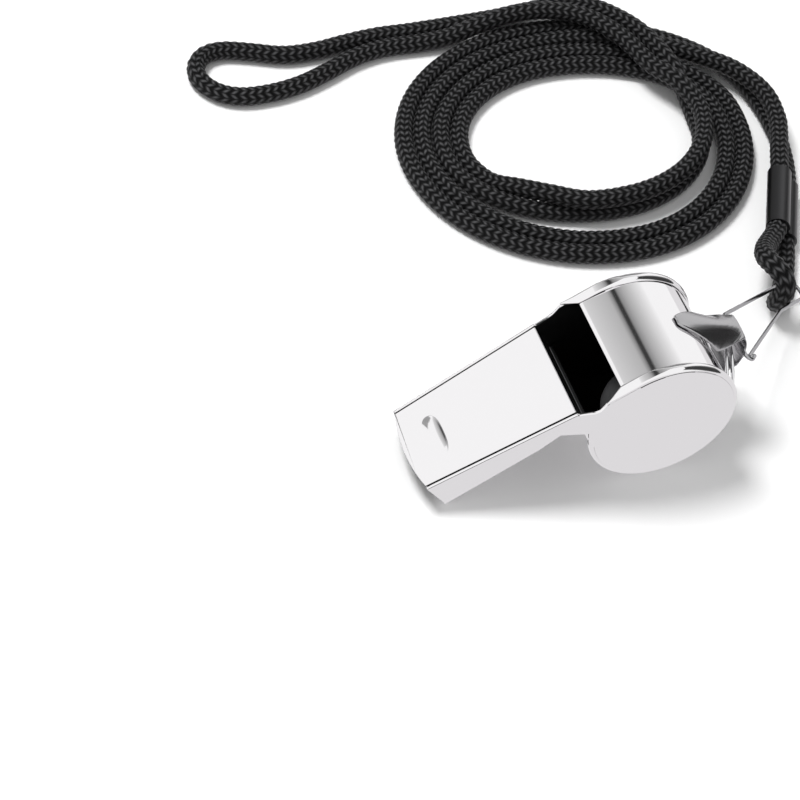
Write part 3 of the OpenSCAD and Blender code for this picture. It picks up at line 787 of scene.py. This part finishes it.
def cord_tube(name, route, rounds=cord_rounds, body=cord_body):
    """A round woven cord along a route in millimetres, with its rows of V stitches in relief."""
    path = even_route(relaxed_route(even_route(route, cord_ring_step), rounds), cord_ring_step)
    rings = len(path)
    along = np.gradient(path, axis=0)
    along /= np.linalg.norm(along, axis=1)[:, None]
    side = np.zeros_like(path)
    side[0] = np.cross(along[0], (0, 0, 1))
    for i in range(rings):
        carried = side[max(i - 1, 0)]
        carried = carried - carried.dot(along[i]) * along[i]
        side[i] = carried / np.linalg.norm(carried)
    up = np.cross(side, along)
    length = np.concatenate([[0], np.cumsum(np.linalg.norm(np.diff(path, axis=0), axis=1))])
    share = np.arange(cord_sides) / cord_sides
    column = (share * stitch_columns) % 1
    lean = np.abs(column - 0.5) * 2
    row = length[:, None] / stitch_pitch + stitch_lean * lean[None, :]
    strand = np.abs(np.sin(np.pi * row)) ** strand_crown
    groove = np.clip(np.minimum(lean, 1 - lean) * groove_edge, 0, 1)[None, :]
    radius = body / 2 - stitch_depth * (1 - strand * (relief_low + relief_gain * groove))
    angle = 2 * np.pi * share
    points = (
        path[:, None, :]
        + (radius * np.cos(angle))[:, :, None] * side[:, None, :]
        + (radius * np.sin(angle))[:, :, None] * up[:, None, :]
    )
    points[:, :, 0] += axis_place
    points[:, :, 2] = np.maximum(points[:, :, 2], table_gap)
    count = cord_sides
    faces = []
    for i in range(rings - 1):
        a, b = i * count, (i + 1) * count
        for k in range(count):
            m = (k + 1) % count
            faces.append((a + k, b + k, b + m, a + m))
    faces.append(tuple(range(count)))
    faces.append(tuple(reversed(range((rings - 1) * count, rings * count))))
    mesh = bpy.data.meshes.new(name)
    mesh.from_pydata((points.reshape(-1, 3) * mm).tolist(), [], faces)
    uv = mesh.uv_layers.new(name="weave")
    values = np.zeros((len(mesh.loops), 2), np.float32)
    start = 0
    for i in range(rings - 1):
        u0, u1 = length[i] / stitch_pitch, length[i + 1] / stitch_pitch
        for k in range(count):
            v0, v1 = k / count * stitch_columns, (k + 1) / count * stitch_columns
            values[start:start + 4] = ((u0, v0), (u1, v0), (u1, v1), (u0, v1))
            start += 4
    uv.data.foreach_set("uv", values.ravel())
    mesh.shade_smooth()
    made = new_object(name, mesh)
    shifted = path + np.array([axis_place, 0, 0])
    return made, [tuple(p * mm) for p in shifted], float(length[-1] * mm)


threads_per_stitch, thread_relief = 3, 0.35
strand_shine = 4
cord_cloth = bpy.data.materials.new("black_woven_cord")
cord_cloth.use_nodes = True
tree = cord_cloth.node_tree
shader = tree.nodes["Principled BSDF"]
shader.inputs["Roughness"].default_value = 0.5
shader.inputs["Sheen Weight"].default_value = 0.03
shader.inputs["Sheen Roughness"].default_value = 0.4
shader.inputs["Specular IOR Level"].default_value = 0.12
weave_uv = tree.nodes.new("ShaderNodeUVMap")
weave_uv.uv_map = "weave"
parts = tree.nodes.new("ShaderNodeSeparateXYZ")
tree.links.new(weave_uv.outputs["UV"], parts.inputs["Vector"])

column = maths(tree, "FRACT", parts.outputs["Y"])
lean = maths(tree, "MULTIPLY", maths(tree, "ABSOLUTE", maths(tree, "SUBTRACT", column, 0.5)), 2)
row = maths(tree, "ADD", parts.outputs["X"], maths(tree, "MULTIPLY", lean, stitch_lean))
strand = maths(tree, "ABSOLUTE", maths(tree, "SINE", maths(tree, "MULTIPLY", row, math.pi)))
threads = maths(tree, "ABSOLUTE", maths(tree, "SINE", maths(tree, "MULTIPLY", maths(
    tree, "ADD", maths(tree, "MULTIPLY", row, threads_per_stitch), lean), math.pi)))
height = maths(tree, "ADD", strand, maths(tree, "MULTIPLY", threads, thread_relief))
bump = tree.nodes.new("ShaderNodeBump")
bump.inputs["Strength"].default_value = 0.8
bump.inputs["Distance"].default_value = 0.00015
tree.links.new(height, bump.inputs["Height"])
tree.links.new(bump.outputs["Normal"], shader.inputs["Normal"])
# Painted highlight: the crowns of the stitches, mid-column, get a lighter grey over the cord's
# black.
stitch_highlight_mix = tree.nodes.new("ShaderNodeMix")
stitch_highlight_mix.data_type = "RGBA"
stitch_highlight_mix.inputs["A"].default_value = (0.0012, 0.0012, 0.0013, 1)
stitch_highlight_mix.inputs["B"].default_value = (0.085, 0.085, 0.088, 1)
middle_part = maths(tree, "MULTIPLY", maths(tree, "MULTIPLY", lean, maths(
    tree, "SUBTRACT", 1, lean)), 4)
tree.links.new(maths(tree, "MULTIPLY", maths(tree, "POWER", strand, strand_shine), middle_part),
               stitch_highlight_mix.inputs["Factor"])
tree.links.new(stitch_highlight_mix.outputs["Result"], shader.inputs["Base Color"])

neck_route = smooth_route(
    [sleeve_place(sleeve_lower)] + lower_tail_route + coil_strand(0) + outer_exit_route
    + end_route + inner_exit_route + coil_strand(1)[::-1] + upper_tail_route[::-1]
    + [sleeve_place(sleeve_upper)])
neck_cord, neck_path, neck_length = cord_tube("neck_cord", neck_route)
neck_cord.data.materials.append(cord_cloth)
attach(neck_cord, "whistle")
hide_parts("cord_tails", "cord_coil_outer", "cord_coil_inner", "cord_end_loop")


# Clip cord: the small bight of the same cord between the sleeve and the wire clip. It
# lies on the clip's lower wire, turns round it and comes back over the other one.
clip_cord_route = [
    (37.7, 26.9, 1.9), (36.6, 24.2, 1.6), (35.3, 21.5, 1.5), (33.9, 18.9, 1.5),
    (32.4, 16.8, 1.5), (31, 15.2, 2), (30, 14, 3.5), (30, 13.2, 5.4), (30.5, 12.9, 7.3),
    (30.2, 13.8, 9.2), (29.3, 15.9, 9.9), (29.1, 18.6, 9), (30.6, 21.6, 7.2),
    (33.2, 24.6, 5.5), (36.2, 27.6, 4.7),
]
bight_rounds, bight_body = 30, 3.25
bight_route = smooth_route([sleeve_place(sleeve_lower)] + clip_cord_route
                           + [sleeve_place(sleeve_upper)])
clip_bight, bight_path, bight_length = cord_tube("clip_bight", bight_route, bight_rounds,
                                                 bight_body)
clip_bight.data.materials.append(cord_cloth)
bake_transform(clip_bight)
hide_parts("clip_cord")


# Crimp sleeve: a double ferrule of black-plated metal with a bore for each strand, squeezed
# flat on both of them.
ferrule_edge = 0.12
ferrule_metal = polished_metal("ferrule_metal", (0.07, 0.07, 0.072), roughness=0.32, spread=0.12,
                               grain=0.5)
ferrule = stamped("ferrule", "crimp_sleeve")
finish_stamping(ferrule, ferrule_edge, segments=3, angle=30)
ferrule.data.materials.append(ferrule_metal)
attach(ferrule, "whistle")
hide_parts("crimp_sleeve")


# Floor and light: a plain pale table in a white room, with one large soft lamp high on the
# far left. Dark cards that only reflections see give the bright metal its dark bands.
floor_size = 3
floor_mesh = bpy.data.meshes.new("floor")
floor_mesh.from_pydata(
    [(-floor_size, -floor_size, 0), (floor_size, -floor_size, 0),
     (floor_size, floor_size, 0), (-floor_size, floor_size, 0)], [], [(0, 1, 2, 3)])
floor = new_object("floor", floor_mesh)
floor_paper = bpy.data.materials.new("floor_paper")
floor_paper.use_nodes = True
tree = floor_paper.node_tree
paper = tree.nodes["Principled BSDF"]
paper.inputs["Base Color"].default_value = (0.95, 0.95, 0.95, 1)
paper.inputs["Roughness"].default_value = 0.9
paper.inputs["Specular IOR Level"].default_value = 0.1
paper_ray = tree.nodes.new("ShaderNodeLightPath")
paper_mirrored = tree.nodes.new("ShaderNodeEmission")
paper_mirrored.inputs["Color"].default_value = (0.79, 0.78, 0.79, 1)
paper_seen = tree.nodes.new("ShaderNodeMixShader")
tree.links.new(paper_ray.outputs["Is Glossy Ray"], paper_seen.inputs["Fac"])
tree.links.new(paper.outputs["BSDF"], paper_seen.inputs[1])
tree.links.new(paper_mirrored.outputs["Emission"], paper_seen.inputs[2])
tree.links.new(paper_seen.outputs["Shader"], tree.nodes["Material Output"].inputs["Surface"])
floor_mesh.materials.append(floor_paper)

world = bpy.data.worlds.new("white_room")
world.use_nodes = True
room = world.node_tree
room_level, seen_level = 0.57, 0.43
room_light = room.nodes["Background"]
room_light.inputs["Color"].default_value = (1, 1, 1, 1)
room_ray = room.nodes.new("ShaderNodeLightPath")
seen_or_mirrored = maths(room, "MAXIMUM", room_ray.outputs["Is Camera Ray"],
                         room_ray.outputs["Is Glossy Ray"])
room.links.new(
    maths(room, "ADD", room_level, maths(room, "MULTIPLY", seen_or_mirrored, seen_level)),
    room_light.inputs["Strength"])
bpy.context.scene.world = world

lamp_data = bpy.data.lights.new("soft_lamp", "AREA")
lamp_data.shape = "DISK"
lamp_data.size = 0.3
lamp_data.energy = 5.2
lamp = new_object("soft_lamp", lamp_data)
lamp.location = (-0.22, 0.28, 0.74)
lamp_aim = Vector((0, 0.02, 0.01))
lamp.rotation_euler = (lamp_aim - lamp.location).to_track_quat("-Z", "Y").to_euler()
lamp.visible_glossy = False


def dark_card(name, corners, stops):
    """A card that only reflections see. Its grey follows the stops, (share of width, grey)."""
    card_mesh = bpy.data.meshes.new(name)
    card_mesh.from_pydata(corners, [], [(0, 1, 2, 3)])
    uv = card_mesh.uv_layers.new(name="card")
    uv.data.foreach_set("uv", [0, 0, 1, 0, 1, 1, 0, 1])
    card = new_object(name, card_mesh)
    paint = bpy.data.materials.new(name)
    paint.use_nodes = True
    tree = paint.node_tree
    tree.nodes.remove(tree.nodes["Principled BSDF"])
    glow = tree.nodes.new("ShaderNodeEmission")
    place = tree.nodes.new("ShaderNodeUVMap")
    place.uv_map = "card"
    split = tree.nodes.new("ShaderNodeSeparateXYZ")
    tree.links.new(place.outputs["UV"], split.inputs["Vector"])
    ramp = tree.nodes.new("ShaderNodeValToRGB")
    while len(ramp.color_ramp.elements) < len(stops):
        ramp.color_ramp.elements.new(0.5)
    for element, (share, grey) in zip(ramp.color_ramp.elements, stops):
        element.position = share
    for element, (share, grey) in zip(ramp.color_ramp.elements, stops):
        element.color = (grey, grey, grey, 1)
    tree.links.new(split.outputs["X"], ramp.inputs["Fac"])
    tree.links.new(ramp.outputs["Color"], glow.inputs["Color"])
    tree.links.new(glow.outputs["Emission"], tree.nodes["Material Output"].inputs["Surface"])
    card_mesh.materials.append(paint)
    card.visible_camera = False
    card.visible_diffuse = False
    card.visible_shadow = False
    card.visible_transmission = False


dark_card("overhead_card", [(-0.55, 0.5, 1), (0.95, 0.5, 1), (0.95, 1.15, 1), (-0.55, 1.15, 1)],
          [(0, 0.85), (0.09, 0.65), (0.187, 0.5), (0.253, 0.3), (0.295, 0.05), (0.345, 0.04),
           (0.38, 0.28), (0.48, 0.45), (0.69, 0.7), (1, 1)])
dark_card("right_card", [(0.9, -0.9, 0.02), (0.9, 0.5, 0.02), (0.9, 0.5, 1.4), (0.9, -0.9, 1.4)],
          [(0, 0.2), (0.3, 0.05), (0.8, 0.05), (1, 0.3)])
dark_card("back_card", [(-1.5, 1.6, 0), (1.2, 1.6, 0), (1.2, 1.6, 1.2), (-1.5, 1.6, 1.2)],
          [(0, 0.38), (1, 0.22)])

bpy.context.scene.view_settings.view_transform = "Standard"
